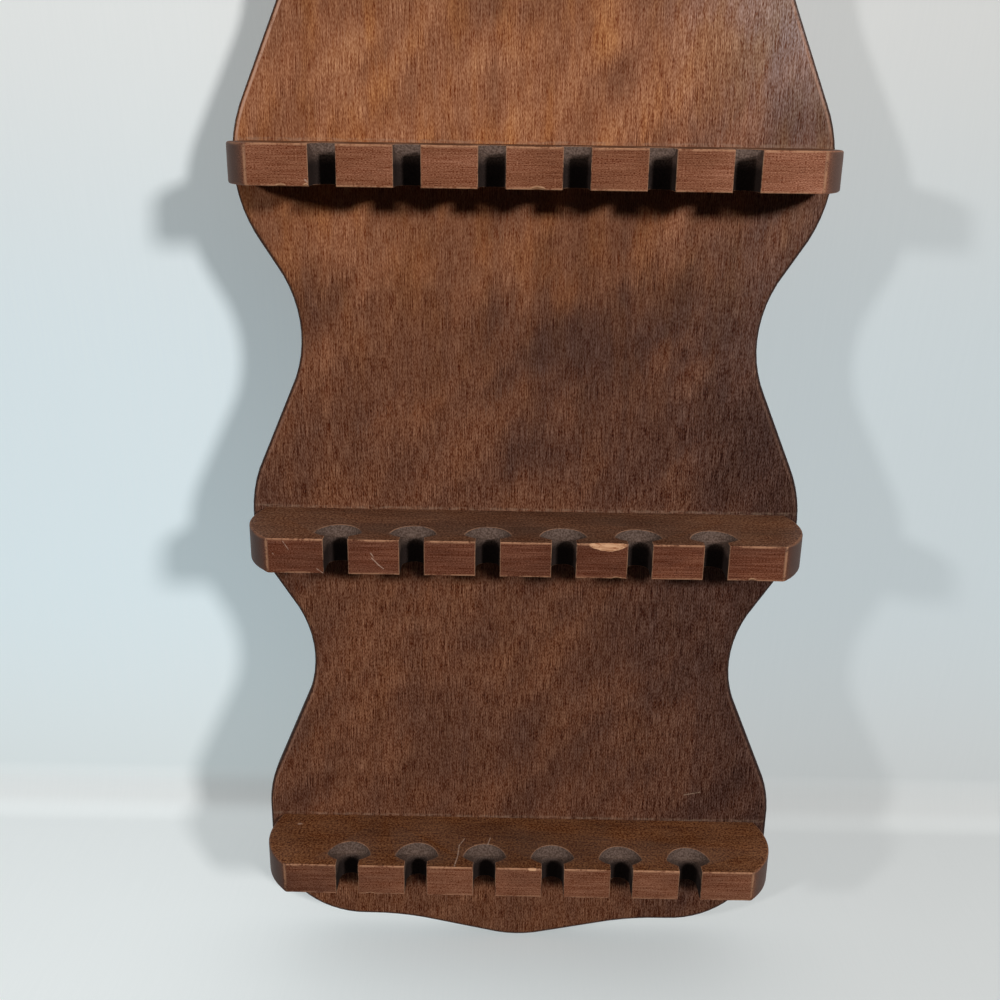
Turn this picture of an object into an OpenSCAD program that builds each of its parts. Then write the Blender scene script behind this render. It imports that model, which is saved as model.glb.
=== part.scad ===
// Wall rack for souvenir spoons: a scalloped backboard that carries three slotted shelves.
// X runs to the right, Z up, and the viewer stands at -Y. The wall is the plane Y = 0,
// and the origin is the middle of the hanging hole on that plane.

/* [Shelves] */
// Number of spoon slots in a shelf
slot_n = 6; // [4:1:8]
// Distance between the middles of two slots
slot_pitch = 25.4; // [20:0.1:32]
// From the middle of the last slot to the shelf's widest end
end_margin = 32.25; // [26:0.25:45]
// How far a shelf stands out from the board
shelf_d = 31.75; // [27:0.25:37]
// Thickness of a shelf
shelf_t = 12.4; // [9:0.1:18]
// Radius of a shelf's rounded end, seen from above
shelf_end_r = 26; // [24:0.5:40]
// From the board out to the shelf's widest place
shelf_widest_d = 12; // [8:0.5:15]
// From the top face of the top shelf down to the top face of the middle shelf
upper_bay_h = 125.3; // [105:0.1:160]
// From the top face of the middle shelf down to the top face of the bottom shelf
lower_bay_h = 128.5; // [105:0.1:160]

/* [Spoon slots] */
// Width of a slot, which is also the bore at its inner end
slot_w = 8.2; // [5:0.1:11]
// From the shelf's front face back to the middle of the slot's round end
slot_seat_d = 8; // [6:0.1:12]
// Width of the half-moon dish round a slot's inner end
dish_w = 16.6; // [12:0.1:19]
// Length of the dish from front to back
dish_l = 12; // [10:0.1:14]
// How far the dish reaches back from the middle of the slot's round end
dish_back_d = 6.6; // [5.5:0.1:8]
// How far the dish's round-nosed cutter is tipped back, in degrees
dish_tip = 30; // [20:1:40]
// Radius of that cutter's nose
dish_nose_r = 17.5; // [14:0.5:24]

/* [Backboard] */
// Thickness of the board
board_t = 9.5; // [7:0.5:14]
// How far a lobe stands out beyond the end of its shelf
lobe_margin = 2.25; // [0.5:0.25:12]
// How far the middle lobe's widest place lies above its shelf's middle
middle_lobe_lift = 3.5; // [-10:0.1:10]
// How far the bottom lobe's widest place lies above its shelf's middle
bottom_lobe_lift = 9.2; // [-5:0.1:15]
// How far the waists cut in from the lobes
waist_inset = 20; // [8:0.5:28]
// From a lobe down to the waist below it
waist_drop = 57.5; // [45:0.5:70]
// From the top lobe up to the waist under the crest
top_waist_rise = 64.5; // [50:0.5:80]

/* [Foot of the board] */
// Board below the underside of the bottom shelf, to the flat of the foot
foot_h = 35.1; // [28:0.1:60]
// Radius of the foot's two corners
foot_corner_r = 36; // [20:1:40]
// Flat run between a corner and the hollow beside the tip
foot_flat = 4; // [1:0.5:15]
// How far the middle tip hangs below the flat of the foot
tip_drop = 9; // [4:0.5:16]

/* [Crest of the board] */
// Width of the hanging hole
hang_w = 7; // [4:0.5:10]
// From the hanging hole up to the peak
peak_h = 18; // [12:0.5:30]
// How far the peak stands above the shoulders
peak_rise = 20; // [8:0.5:28]
// From the waist under the crest up to the widest place of the shoulders
neck_h = 31.7; // [24:0.1:60]
// How far the shoulders stand out from the waist under the crest
shoulder_flare = 5; // [0.5:0.5:7]
// Radius of the shoulders
shoulder_r = 18; // [8:0.5:22]
// Flat run between a shoulder and the hollow beside the peak
crest_flat = 11; // [1:0.5:20]

/* [Shelf screws] */
// Distance between the two screws of a shelf
screw_span = 101.6; // [60:0.1:140]
// Length of a screw
screw_l = 25.4; // [18:0.1:27]
// Width of a screw's shank
screw_w = 3.5; // [2.5:0.1:5]
// Width of a screw's flat head
head_w = 7; // [6:0.1:10]
// Height of the tapered underside of the head
head_h = 2.2; // [1.5:0.1:4]
// How far a head is sunk below the back of the board
head_sink = 0.3; // [0.1:0.1:1]
// Length of a screw's point
point_l = 5; // [3:0.5:8]
// Width of the driver slot across the head
driver_w = 1; // [0.6:0.1:1.5]
// Depth of the driver slot
driver_h = 1.1; // [0.5:0.1:1.4]
// Room all round a screw in its hole
screw_fit = 0.1; // [0.05:0.05:0.3]

/* [Hidden] */
$fn = 96;
board_colour = "sienna";
shelf_colour = "saddlebrown";
screw_colour = "silver";
// Extra length by which a cutter passes the face that it opens
past = 1;
// Width left at the end of a screw's point
point_tip_w = 0.4;
// How far the outline's straight lines run inside the arcs that they join, so that the two always cross
line_inset = 0.02;
// How full the sweeps of the sides, the foot and the crest are; at 1 their arcs meet with no straight between
side_fullness = 0.97;
foot_fullness = 0.81;
crest_fullness = 0.9;
// What part of a sweep's two radii belongs to the lobe, the tip and the peak
lobe_share = 0.53;
tip_share = 0.29;
peak_share = 0.45;

// Heights from the hanging hole down: shoulders, lobes, waists and the shelves' top faces
crest_z = peak_h - peak_rise;
shoulder_z = crest_z - shoulder_r;
top_waist_z = shoulder_z - neck_h;
top_shelf_z = top_waist_z - top_waist_rise + shelf_t / 2;
shelf_tops = [top_shelf_z, top_shelf_z - upper_bay_h, top_shelf_z - upper_bay_h - lower_bay_h];
lobe_lifts = [0, middle_lobe_lift, bottom_lobe_lift];
last = len(shelf_tops) - 1;
lobe_z = [for (k = [0 : last]) shelf_tops[k] - shelf_t / 2 + lobe_lifts[k]];
waist_z = [for (k = [0 : last - 1]) lobe_z[k] - waist_drop];

// Half-widths of a shelf and of the board
shelf_half = (slot_n - 1) * slot_pitch / 2 + end_margin;
lobe_half = shelf_half + lobe_margin;
waist_half = lobe_half - waist_inset;
shoulder_half = waist_half + shoulder_flare;

// Sum of the radii of two opposite arcs that sweep smoothly over a run and a rise
function sweep_r(run, rise) = (run * run + rise * rise) / (2 * rise);

// Lobes and waists share the radii that the shortest of their runs has room for
side_runs = [top_waist_rise, waist_drop, for (k = [0 : last - 1]) waist_z[k] - lobe_z[k + 1]];
side_r = side_fullness * sweep_r(min(side_runs), waist_inset);
lobe_r = lobe_share * side_r;
waist_r = side_r - lobe_r;

// The waist under the crest is as round as the others where its neck has room
neck_r = min(waist_r, side_fullness * sweep_r(neck_h, shoulder_flare) - shoulder_r);

// The foot's hollows and middle tip
foot_z = shelf_tops[last] - shelf_t - foot_h;
foot_hollow_x = lobe_half - foot_corner_r - foot_flat;
foot_r = foot_fullness * sweep_r(foot_hollow_x, tip_drop);
tip_r = tip_share * foot_r;
foot_hollow_r = foot_r - tip_r;

// The crest's hollows and middle peak
crest_hollow_x = shoulder_half - shoulder_r - crest_flat;
crest_r = crest_fullness * sweep_r(crest_hollow_x, peak_rise);
peak_r = peak_share * crest_r;
crest_hollow_r = crest_r - peak_r;

// Arcs of the board's right edge from the peak down to the tip, each [x, z, radius];
// the radius of a hollow arc is negative
edge_arcs = [
    [0, peak_h - peak_r, peak_r],
    [crest_hollow_x, crest_z + crest_hollow_r, -crest_hollow_r],
    [shoulder_half - shoulder_r, shoulder_z, shoulder_r],
    [waist_half + neck_r, top_waist_z, -neck_r],
    for (k = [0 : last - 1])
        each [
            [lobe_half - lobe_r, lobe_z[k], lobe_r],
            [waist_half + waist_r, waist_z[k], -waist_r]
        ],
    [lobe_half - lobe_r, lobe_z[last], lobe_r],
    [lobe_half - foot_corner_r, foot_z + foot_corner_r, foot_corner_r],
    [foot_hollow_x, foot_z - foot_hollow_r, -foot_hollow_r],
    [0, foot_z - tip_drop + tip_r, tip_r]
];

// Outward direction of the straight line that touches arc a and then arc b
function touch_angle(a, b) =
    let (d = [b[0] - a[0], b[1] - a[1]])
    atan2(d[1], d[0]) + acos((a[2] - b[2]) / norm(d));

// Point of an arc at an outward direction
function arc_point(a, angle) = [a[0] + a[2] * cos(angle), a[1] + a[2] * sin(angle)];

// Ends of the straight lines between the arcs, down the right edge
inner_arcs = [for (a = edge_arcs) [a[0], a[1], a[2] - sign(a[2]) * line_inset]];
right_edge = [
    for (i = [0 : len(inner_arcs) - 2])
        let (angle = touch_angle(inner_arcs[i], inner_arcs[i + 1]))
        each [arc_point(inner_arcs[i], angle), arc_point(inner_arcs[i + 1], angle)]
];
left_edge = [for (i = [len(right_edge) - 1 : -1 : 0]) [-right_edge[i][0], right_edge[i][1]]];

// Discs of the board's round arcs (kind 1) or hollow arcs (kind -1), on both sides
module edge_discs(kind, thickness) {
    for (a = edge_arcs)
        if (a[2] * kind > 0)
            for (side = a[0] == 0 ? [1] : [-1, 1])
                translate([side * a[0], a[1], 0])
                    cylinder(h = thickness, r = abs(a[2]));
}

// The board without its holes, lying on its back
module board_blank() {
    difference() {
        union() {
            linear_extrude(board_t)
                polygon(concat(right_edge, left_edge));
            edge_discs(1, board_t);
        }
        translate([0, 0, -past])
            edge_discs(-1, board_t + 2 * past);
    }
}

// Places its children at the two screws of a shelf, pointing forwards from the wall
module at_screws(shelf_top) {
    for (side = [-1, 1])
        translate([side * screw_span / 2, 0, shelf_top - shelf_t / 2])
            rotate([90, 0, 0])
                children();
}

// Tapered head and straight shank of a screw, with a margin all round
module screw_form(shank_l, margin) {
    cylinder(h = head_h, d1 = head_w + 2 * margin, d2 = screw_w + 2 * margin);
    cylinder(h = shank_l, d = screw_w + 2 * margin);
}

// One flat-head wood screw
module wood_screw() {
    translate([0, 0, head_sink])
        difference() {
            union() {
                screw_form(screw_l - point_l, 0);
                translate([0, 0, screw_l - point_l])
                    cylinder(h = point_l, d1 = screw_w, d2 = point_tip_w);
            }
            translate([-head_w, -driver_w / 2, -past])
                cube([2 * head_w, driver_w, driver_h + past]);
        }
}

// Hole that a screw passes through, with its countersink
module screw_hole() {
    translate([0, 0, head_sink])
        screw_form(screw_l + screw_fit, screw_fit);
    translate([0, 0, -past])
        cylinder(h = head_sink + past, d = head_w + 2 * screw_fit);
}

module backboard() {
    color(board_colour)
        difference() {
            rotate([90, 0, 0])
                board_blank();
            translate([0, past, 0])
                rotate([90, 0, 0])
                    cylinder(h = board_t + 2 * past, d = hang_w);
            for (shelf_top = shelf_tops)
                at_screws(shelf_top)
                    screw_hole();
        }
}

// Outline of a shelf from above, with the board at y = 0
module shelf_outline() {
    end_x = shelf_half - shelf_end_r;
    intersection() {
        union() {
            translate([-end_x, -shelf_d])
                square([2 * end_x, shelf_d]);
            for (side = [-1, 1])
                translate([side * end_x, -shelf_widest_d])
                    circle(r = shelf_end_r);
        }
        translate([-shelf_half, -shelf_d])
            square([2 * shelf_half, shelf_d]);
    }
}

// Round-nosed cutter that sinks the dish, tipped back so that it cuts deepest behind the slot
module dish_cutter() {
    cutter_r = dish_w / 2;
    axis_y = dish_back_d - cutter_r / cos(dish_tip);
    front_y = dish_back_d - dish_l - axis_y;
    front_z = front_y * sin(dish_tip);
    nose_z = front_z + sqrt(front_z * front_z - front_y * front_y + dish_nose_r * dish_nose_r);
    translate([0, axis_y, 0])
        rotate([-dish_tip, 0, 0])
            intersection() {
                translate([0, 0, nose_z - dish_nose_r])
                    cylinder(h = dish_nose_r, r = cutter_r);
                translate([0, 0, nose_z])
                    sphere(r = dish_nose_r);
            }
}

// Cutter for one spoon slot: a bore, a way out to the front and a dish, with the shelf's top at height 0
module spoon_slot() {
    translate([0, 0, -shelf_t - past]) {
        cylinder(h = shelf_t + 2 * past, d = slot_w);
        translate([-slot_w / 2, -slot_seat_d - past, 0])
            cube([slot_w, slot_seat_d + past, shelf_t + 2 * past]);
    }
    dish_cutter();
}

// One shelf with its slots and the pilot holes of its screws
module shelf(shelf_top) {
    color(shelf_colour)
        difference() {
            translate([0, -board_t, shelf_top - shelf_t])
                linear_extrude(shelf_t)
                    shelf_outline();
            for (i = [0 : slot_n - 1])
                translate([(i - (slot_n - 1) / 2) * slot_pitch, slot_seat_d - shelf_d - board_t, shelf_top])
                    spoon_slot();
            at_screws(shelf_top)
                screw_hole();
        }
}

// The two screws of one shelf
module shelf_screws(shelf_top) {
    color(screw_colour)
        at_screws(shelf_top)
            wood_screw();
}

module top_shelf() { shelf(shelf_tops[0]); }
module middle_shelf() { shelf(shelf_tops[1]); }
module bottom_shelf() { shelf(shelf_tops[2]); }
module top_shelf_screws() { shelf_screws(shelf_tops[0]); }
module middle_shelf_screws() { shelf_screws(shelf_tops[1]); }
module bottom_shelf_screws() { shelf_screws(shelf_tops[2]); }

backboard();
top_shelf();
middle_shelf();
bottom_shelf();
top_shelf_screws();
middle_shelf_screws();
bottom_shelf_screws();
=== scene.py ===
# %% [markdown]
# # A wooden spoon rack, dressed step by step
# The rack is a stained board with a wavy edge. Three shelves stand out from it, and each shelf has six
# slots that hold souvenir spoons by their stems. The CAD model already fixes every size.
# This lesson loads that model and gives it worn wood, softened edges, light and a camera.

import math

import bmesh
import bpy
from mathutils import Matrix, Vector, noise


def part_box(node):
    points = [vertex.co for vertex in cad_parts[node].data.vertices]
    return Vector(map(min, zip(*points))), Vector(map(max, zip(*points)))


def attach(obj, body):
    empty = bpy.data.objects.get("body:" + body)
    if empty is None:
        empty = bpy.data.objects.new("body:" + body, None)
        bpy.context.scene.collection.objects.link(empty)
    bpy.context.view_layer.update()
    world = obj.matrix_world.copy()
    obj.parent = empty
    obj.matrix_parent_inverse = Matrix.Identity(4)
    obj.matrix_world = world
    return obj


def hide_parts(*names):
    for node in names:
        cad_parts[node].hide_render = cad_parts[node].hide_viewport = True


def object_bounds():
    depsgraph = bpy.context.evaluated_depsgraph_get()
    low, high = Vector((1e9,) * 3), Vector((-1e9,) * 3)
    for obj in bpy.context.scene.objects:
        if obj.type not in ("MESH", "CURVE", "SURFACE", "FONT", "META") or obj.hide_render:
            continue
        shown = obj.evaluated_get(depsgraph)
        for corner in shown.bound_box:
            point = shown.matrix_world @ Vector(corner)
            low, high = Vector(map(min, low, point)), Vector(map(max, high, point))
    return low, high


MM = 0.001
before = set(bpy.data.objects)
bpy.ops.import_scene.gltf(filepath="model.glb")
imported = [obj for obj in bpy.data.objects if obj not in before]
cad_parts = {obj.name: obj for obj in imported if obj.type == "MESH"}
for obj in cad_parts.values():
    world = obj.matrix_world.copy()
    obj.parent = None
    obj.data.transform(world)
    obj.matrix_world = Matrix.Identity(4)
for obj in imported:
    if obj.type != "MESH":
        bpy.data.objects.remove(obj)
cad_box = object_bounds()
scene = bpy.context.scene
scene.view_settings.view_transform = "Standard"
print("nodes:", sorted(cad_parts))
print("CAD box in mm:", [[round(v / MM, 1) for v in corner] for corner in cad_box])

# %% [markdown]
# ## The camera
# The photograph was taken from close by, level with the top shelf and tilted down. A lens and a place
# can be guessed by eye, but here they were worked out from the shelves' edges, so that the render and
# the photograph line up. The roll of less than a degree is the photographer's own.

# %% Camera
LENS_MM = 40.29
SENSOR_MM = 36
CAMERA_MM = Vector((-6.41, -388.24, -102.78))
CAMERA_TURN_DEG = (71.26, -0.795, 0.672)

camera_data = bpy.data.cameras.new("camera")
camera_data.sensor_width = SENSOR_MM
camera_data.lens = LENS_MM
camera = bpy.data.objects.new("camera", camera_data)
camera.location = CAMERA_MM * MM
camera.rotation_euler = [math.radians(angle) for angle in CAMERA_TURN_DEG]
scene.collection.objects.link(camera)
scene.camera = camera
print("camera", [round(v, 3) for v in camera.location], "lens", LENS_MM)

# %% [markdown]
# ## Tools for building materials
# A material in Blender is a small network of nodes. Clicking it together by hand is slow to repeat, so
# a few short functions add a node, set its values and link its inputs in one line. Colours are written
# as they look on a screen, from 0 to 255, and turned into the linear light that shaders work in.

# %% Node tools
def srgb(red, green, blue):
    """A screen colour as the linear colour that a shader socket takes."""
    def linear(value):
        value /= 255
        return value / 12.92 if value <= 0.04045 else ((value + 0.055) / 1.055) ** 2.4
    return (linear(red), linear(green), linear(blue), 1)


def add(tree, kind, inputs=None, **settings):
    """A new node with its settings, and with its inputs set or linked."""
    node = tree.nodes.new("ShaderNode" + kind)
    for name, value in settings.items():
        setattr(node, name, value)
    for key, value in (inputs or {}).items():
        if isinstance(value, bpy.types.NodeSocket):
            tree.links.new(value, node.inputs[key])
        else:
            node.inputs[key].default_value = value
    return node


def calc(tree, operation, *values):
    """One sum on numbers."""
    return add(tree, "Math", dict(enumerate(values)), operation=operation).outputs[0]


def plus(tree, first, *others):
    """Numbers added up."""
    for other in others:
        first = calc(tree, "ADD", first, other)
    return first


def times(tree, first, *others):
    """Numbers multiplied."""
    for other in others:
        first = calc(tree, "MULTIPLY", first, other)
    return first


def swing(tree, value, amount):
    """A value that swings round a half, turned to swing round zero."""
    return times(tree, calc(tree, "SUBTRACT", value, 0.5), amount)


def vcalc(tree, operation, *values):
    """One sum on vectors."""
    return add(tree, "VectorMath", dict(enumerate(values)), operation=operation).outputs["Vector"]


def vnumber(tree, operation, *values):
    """One number worked out from vectors."""
    return add(tree, "VectorMath", dict(enumerate(values)), operation=operation).outputs["Value"]


def fade(tree, value, low, high, to_low=0.0, to_high=1.0):
    """A smooth change from to_low to to_high while the value goes from low to high."""
    inputs = {"Value": value, "From Min": low, "From Max": high, "To Min": to_low, "To Max": to_high}
    return add(tree, "MapRange", inputs, interpolation_type="SMOOTHSTEP").outputs[0]


def mix(tree, share, first, second, blend="MIX"):
    """Two colours mixed."""
    inputs = {0: share, 6: first, 7: second}
    return add(tree, "Mix", inputs, data_type="RGBA", blend_type=blend).outputs[2]


def cloud(tree, vector, size, detail=2.0, distortion=0.0):
    """Soft noise from 0 to 1 whose lumps are about as large as size, in the vector's own unit."""
    inputs = {"Vector": vcalc(tree, "DIVIDE", vector, size), "Scale": 1, "Detail": detail,
              "Distortion": distortion}
    return add(tree, "TexNoise", inputs).outputs[0]


def new_group(name, inputs, outputs, gives="Float"):
    """An empty node group, with the sockets that it takes in and gives out."""
    tree = bpy.data.node_groups.new(name, "ShaderNodeTree")
    for title, kind, value in inputs:
        socket = tree.interface.new_socket(name=title, in_out="INPUT", socket_type="NodeSocket" + kind)
        socket.default_value = value
    for title in outputs:
        tree.interface.new_socket(name=title, in_out="OUTPUT", socket_type="NodeSocket" + gives)
    return tree, tree.nodes.new("NodeGroupInput").outputs, tree.nodes.new("NodeGroupOutput").inputs


def use(tree, group, **inputs):
    """A node group placed in a material. An underscore in a name stands for a space."""
    named = {name.replace("_", " "): value for name, value in inputs.items()}
    return add(tree, "Group", named, node_tree=group).outputs


print("node tools ready")

# %% [markdown]
# ## Wood grain
# The rack's wood has open pores, which show as short dark lines, and finer dashes of light and dark lie
# between them. Longer fibres and broad bands of growth lie under both. All are noise that is stretched
# along the grain. Board and shelves need it at different sizes, so it is a group.

# %% Group: wood grain
ZERO = (0, 0, 0)
DASH_SHARES = (0.7, 0.7, 0.16)
PORE_EDGE = 0.13
FIBRE_MM = (0.25, 0.25, 7.5)
BAND_MM = (6, 6, 150)
tree, given, result = new_group(
    "wood_grain",
    [("Vector", "Vector", ZERO), ("Pore Width", "Float", 0.4), ("Pore Length", "Float", 4),
     ("Pore Start", "Float", 0.55)], ["Pores", "Dashes", "Fibre", "Bands"])
pore_size = add(tree, "CombineXYZ", {
    "X": given["Pore Width"], "Y": given["Pore Width"], "Z": given["Pore Length"]}).outputs[0]
dash_size = vcalc(tree, "MULTIPLY", pore_size, DASH_SHARES)
pore_noise = cloud(tree, given["Vector"], pore_size, detail=1)
pore_end = plus(tree, given["Pore Start"], PORE_EDGE)
tree.links.new(fade(tree, pore_noise, given["Pore Start"], pore_end), result["Pores"])
tree.links.new(cloud(tree, given["Vector"], dash_size, detail=0), result["Dashes"])
tree.links.new(cloud(tree, given["Vector"], FIBRE_MM), result["Fibre"])
tree.links.new(cloud(tree, given["Vector"], BAND_MM, distortion=0.4), result["Bands"])
wood_grain = tree
print("group", tree.name, len(tree.nodes), "nodes")

# %% [markdown]
# ## Light and dark in the grain
# The finest lines of the wood are greyer where they are light and redder where they are dark. Making the
# whole colour lighter or darker would miss that, so red, green and blue swing by different shares.

# %% Group: grain swing
tree, given, result = new_group(
    "grain_swing", [("Colour", "Color", (1, 1, 1, 1)), ("Swing", "Float", 0)],
    ["Colour"], gives="Color")
SWING_SHARES = (1, 1.5, 1.85)
LEAST_LEFT = (0.2, 0.12, 0.1)
same = add(tree, "CombineXYZ", {axis: given["Swing"] for axis in range(3)}).outputs[0]
factor = vcalc(tree, "MULTIPLY_ADD", same, SWING_SHARES, (1, 1, 1))
factor = vcalc(tree, "MAXIMUM", factor, LEAST_LEFT)
tree.links.new(vcalc(tree, "MULTIPLY", factor, given["Colour"]), result["Colour"])
grain_swing = tree
print("group", tree.name, len(tree.nodes), "nodes")

# %% [markdown]
# ## Soft spots
# Stain soaks in unevenly and leaves clouds that are darker or lighter than the rest. A soft spot is an
# oval with a middle and a size, and its edge is frayed by noise so that it doesn't look like an oval.

# %% Group: soft spot
tree, given, result = new_group(
    "soft_spot",
    [("Vector", "Vector", ZERO), ("Middle", "Vector", ZERO), ("Size", "Vector", (10, 10, 10))],
    ["Spot"])
FRAY_MM = (9, 9, 22)
FRAY_AMOUNT = 1.2
SPOT_EDGE = (0.5, 1.7)
offset = vcalc(tree, "SUBTRACT", given["Vector"], given["Middle"])
distance = vnumber(tree, "LENGTH", vcalc(tree, "DIVIDE", offset, given["Size"]))
fray = times(tree, cloud(tree, given["Vector"], FRAY_MM, detail=3), FRAY_AMOUNT)
frayed = plus(tree, distance, fray)
tree.links.new(fade(tree, frayed, *SPOT_EDGE, 1, 0), result["Spot"])
soft_spot = tree
print("group", tree.name, len(tree.nodes), "nodes")

# %% [markdown]
# ## Wear along edges
# Handling rubs the stain off the arrises, the edges where two faces meet. It goes in patches, not in an
# even line. The mesh, or the direction of the surface, says where an arris is, and noise breaks it up.

# %% Group: worn edges
tree, given, result = new_group(
    "worn_edges", [("Vector", "Vector", ZERO), ("Arris", "Float", 0), ("Amount", "Float", 0.5)], ["Wear"])
RUB_MM = (7, 7, 7)
NIBBLE_MM = (0.9, 0.9, 0.9)
RUB_SHARE = 0.6
NIBBLE_SHARE = 0.4
RUB_START = 0.72
RUB_START_FALL = 0.45
RUB_EDGE = 0.16
rub = cloud(tree, given["Vector"], RUB_MM)
nibble = cloud(tree, given["Vector"], NIBBLE_MM)
patchy = plus(tree, times(tree, rub, RUB_SHARE), times(tree, nibble, NIBBLE_SHARE))
start = calc(tree, "SUBTRACT", RUB_START, times(tree, given["Amount"], RUB_START_FALL))
rubbed = fade(tree, patchy, start, plus(tree, start, RUB_EDGE))
tree.links.new(times(tree, rubbed, given["Arris"]), result["Wear"])
worn_edges = tree
print("group", tree.name, len(tree.nodes), "nodes")

# %% [markdown]
# ## Scratches
# A scratch is a pale line from one point to another. It could be a groove in the mesh, but it is hardly
# wider than the wood's pores. So the group measures how far each place lies from the line.

# %% Group: scratch
tree, given, result = new_group(
    "scratch",
    [("Vector", "Vector", ZERO), ("Start", "Vector", ZERO), ("End", "Vector", ZERO),
     ("Width", "Float", 0.3)], ["Scratch"])
from_start = vcalc(tree, "SUBTRACT", given["Vector"], given["Start"])
whole_way = vcalc(tree, "SUBTRACT", given["End"], given["Start"])
along = vnumber(tree, "DOT_PRODUCT", from_start, whole_way)
full = vnumber(tree, "DOT_PRODUCT", whole_way, whole_way)
share = add(tree, "Clamp", {"Value": calc(tree, "DIVIDE", along, full)}).outputs[0]
nearest = add(tree, "VectorMath", {0: whole_way, "Scale": share}, operation="SCALE").outputs["Vector"]
distance = vnumber(tree, "LENGTH", vcalc(tree, "SUBTRACT", from_start, nearest))
SKIP_MM = (0.8, 0.8, 0.8)
SKIP_EDGE = (0.3, 0.5)
skips = fade(tree, cloud(tree, given["Vector"], SKIP_MM), *SKIP_EDGE)
line = fade(tree, distance, 0, given["Width"], 1, 0)
tree.links.new(times(tree, line, skips), result["Scratch"])
scratch = tree
print("group", tree.name, len(tree.nodes), "nodes")

# %% [markdown]
# ## Dust
# Dust settles on faces that look up, and most of it stays where a cloth doesn't reach. The material
# hands in how far the surface looks up, and the group answers with a soft, uneven film.

# %% Group: dust
tree, given, result = new_group(
    "dust_film", [("Vector", "Vector", ZERO), ("Up", "Float", 0), ("Amount", "Float", 0.2)], ["Dust"])
DRIFT_MM = (14, 14, 14)
SPECK_MM = (0.5, 0.5, 0.5)
DRIFT_EDGE = (0.35, 0.7)
SPECK_EDGE = (0.45, 0.75)
UP_EDGE = (0.5, 0.95)
drift = fade(tree, cloud(tree, given["Vector"], DRIFT_MM), *DRIFT_EDGE)
specks = fade(tree, cloud(tree, given["Vector"], SPECK_MM, detail=1), *SPECK_EDGE)
up = fade(tree, given["Up"], *UP_EDGE)
film = times(tree, plus(tree, drift, specks), up, given["Amount"])
tree.links.new(film, result["Dust"])
dust_film = tree
print("group", tree.name, len(tree.nodes), "nodes")

# %% [markdown]
# ## The board's veneer
# The board's grain runs up and down. Across it lies a figure of slanting, lighter patches that is
# strongest near the top. The board is painted lighter there too, as painted light, and its stain is
# purple-brown to the right, under a painted sheen at the upper right. The rounded edge is rubbed and
# carries a painted highlight near the top, the sides are painted dark as shade, and the back, which
# faces the wall, was never fully stained.

# %% Material: board veneer
BOARD_SHADES = [(0, (52, 34, 29)), (0.25, (80, 52, 41)), (0.5, (112, 71, 50)),
                (0.75, (146, 94, 65)), (1, (178, 122, 84))]
PURPLE_STAIN = srgb(81, 55, 45)
# Each cloud of stain, and each pale one, is its middle and half-size in x and z, and its strength
STAIN_CLOUDS = [
    ((13, -176), (44, 29), 0.19), ((8, -214), (24, 18), 0.14), ((80, -206), (34, 40), 0.14),
    ((70, -163), (44, 26), 0.13), ((25, -90), (9, 14), 0.10), ((92, -105), (34, 30), 0.20),
    ((-72, -158), (16, 18), 0.10), ((-12, -70), (20, 9), 0.09), ((-12, -286), (20, 12), 0.08),
    ((82, -300), (24, 40), 0.08), ((-50, -66), (26, 16), 0.07), ((-62, -214), (26, 20), 0.08),
]
PALE_CLOUDS = [((6, -98), (55, 38), 0.14), ((-8, -290), (52, 40), 0.10)]
CLOUD_DEPTH = 30
BOARD_FRONT = -9.5
# Painted sheen: a pale reflection painted into the board's colour at the upper right
PAINTED_SHEEN = srgb(143, 120, 113)
WARM_TINT = (1.05, 0.94, 0.66, 1)
PORE_COLOUR = srgb(43, 27, 22)
# Painted shade for the sides and the outer part of the rounded edge, which turn away from the light
SIDE_SHADE_COLOUR = srgb(42, 29, 26)
# Rubbed edge, made paler still as a painted highlight
RUBBED_EDGE_AND_HIGHLIGHT = srgb(196, 152, 128)
BACK_WOOD = srgb(140, 100, 68)
DUST_COLOUR = srgb(168, 142, 120)
SWAY_MM = (40, 40, 110)
SWAY_REACH = 4
FIGURE_MM = (13, 13, 44)
FIGURE_TURN_DEG = -42
FEATHER_REACH = 24
WARM_MM = (9, 9, 34)
SMUDGE_MM = (55, 55, 90)
DUST_GAP_MM = (3, 3, 1)
BOARD_SCRATCH = dict(Start=(64.7, BOARD_FRONT, -351.9), End=(70.8, BOARD_FRONT, -350.5), Width=0.4)
WOOD_BUMP = (0.35, 0.00012)
SHELF_NODES = ["top_shelf", "middle_shelf", "bottom_shelf"]
shelf_tops = [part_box(name)[1].z / MM for name in SHELF_NODES]


def start_material(name, **constants):
    """A new material: its tree, its shader, and the surface's place in millimetres and direction."""
    material = bpy.data.materials.new(name)
    material.use_nodes = True
    tree = material.node_tree
    shader = tree.nodes["Principled BSDF"]
    for socket, value in constants.items():
        shader.inputs[socket.replace("_", " ")].default_value = value
    surface = add(tree, "TexCoord").outputs
    scale = add(tree, "VectorMath", {0: surface["Object"], "Scale": 1 / MM}, operation="SCALE")
    normal = add(tree, "SeparateXYZ", {0: surface["Normal"]}).outputs
    return material, tree, shader, scale.outputs["Vector"], normal


def finish_surface(tree, shader, colour, rough, height, strength, distance):
    """Colour, roughness and a fine relief linked to the material's shader."""
    bump = add(tree, "Bump", {"Height": height, "Strength": strength, "Distance": distance}).outputs[0]
    for socket, value in (("Base Color", colour), ("Roughness", rough), ("Normal", bump)):
        tree.links.new(value, shader.inputs[socket])


def shaded(tree, value, shades):
    """A number turned into a colour between shades, each a position and a screen colour."""
    node = add(tree, "ValToRGB", {0: value})
    stops = node.color_ramp.elements
    while len(stops) < len(shades):
        stops.new(1)
    for stop, (position, colour) in zip(stops, shades):
        stop.position = position
        stop.color = srgb(*colour)
    return node.outputs[0]


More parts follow.
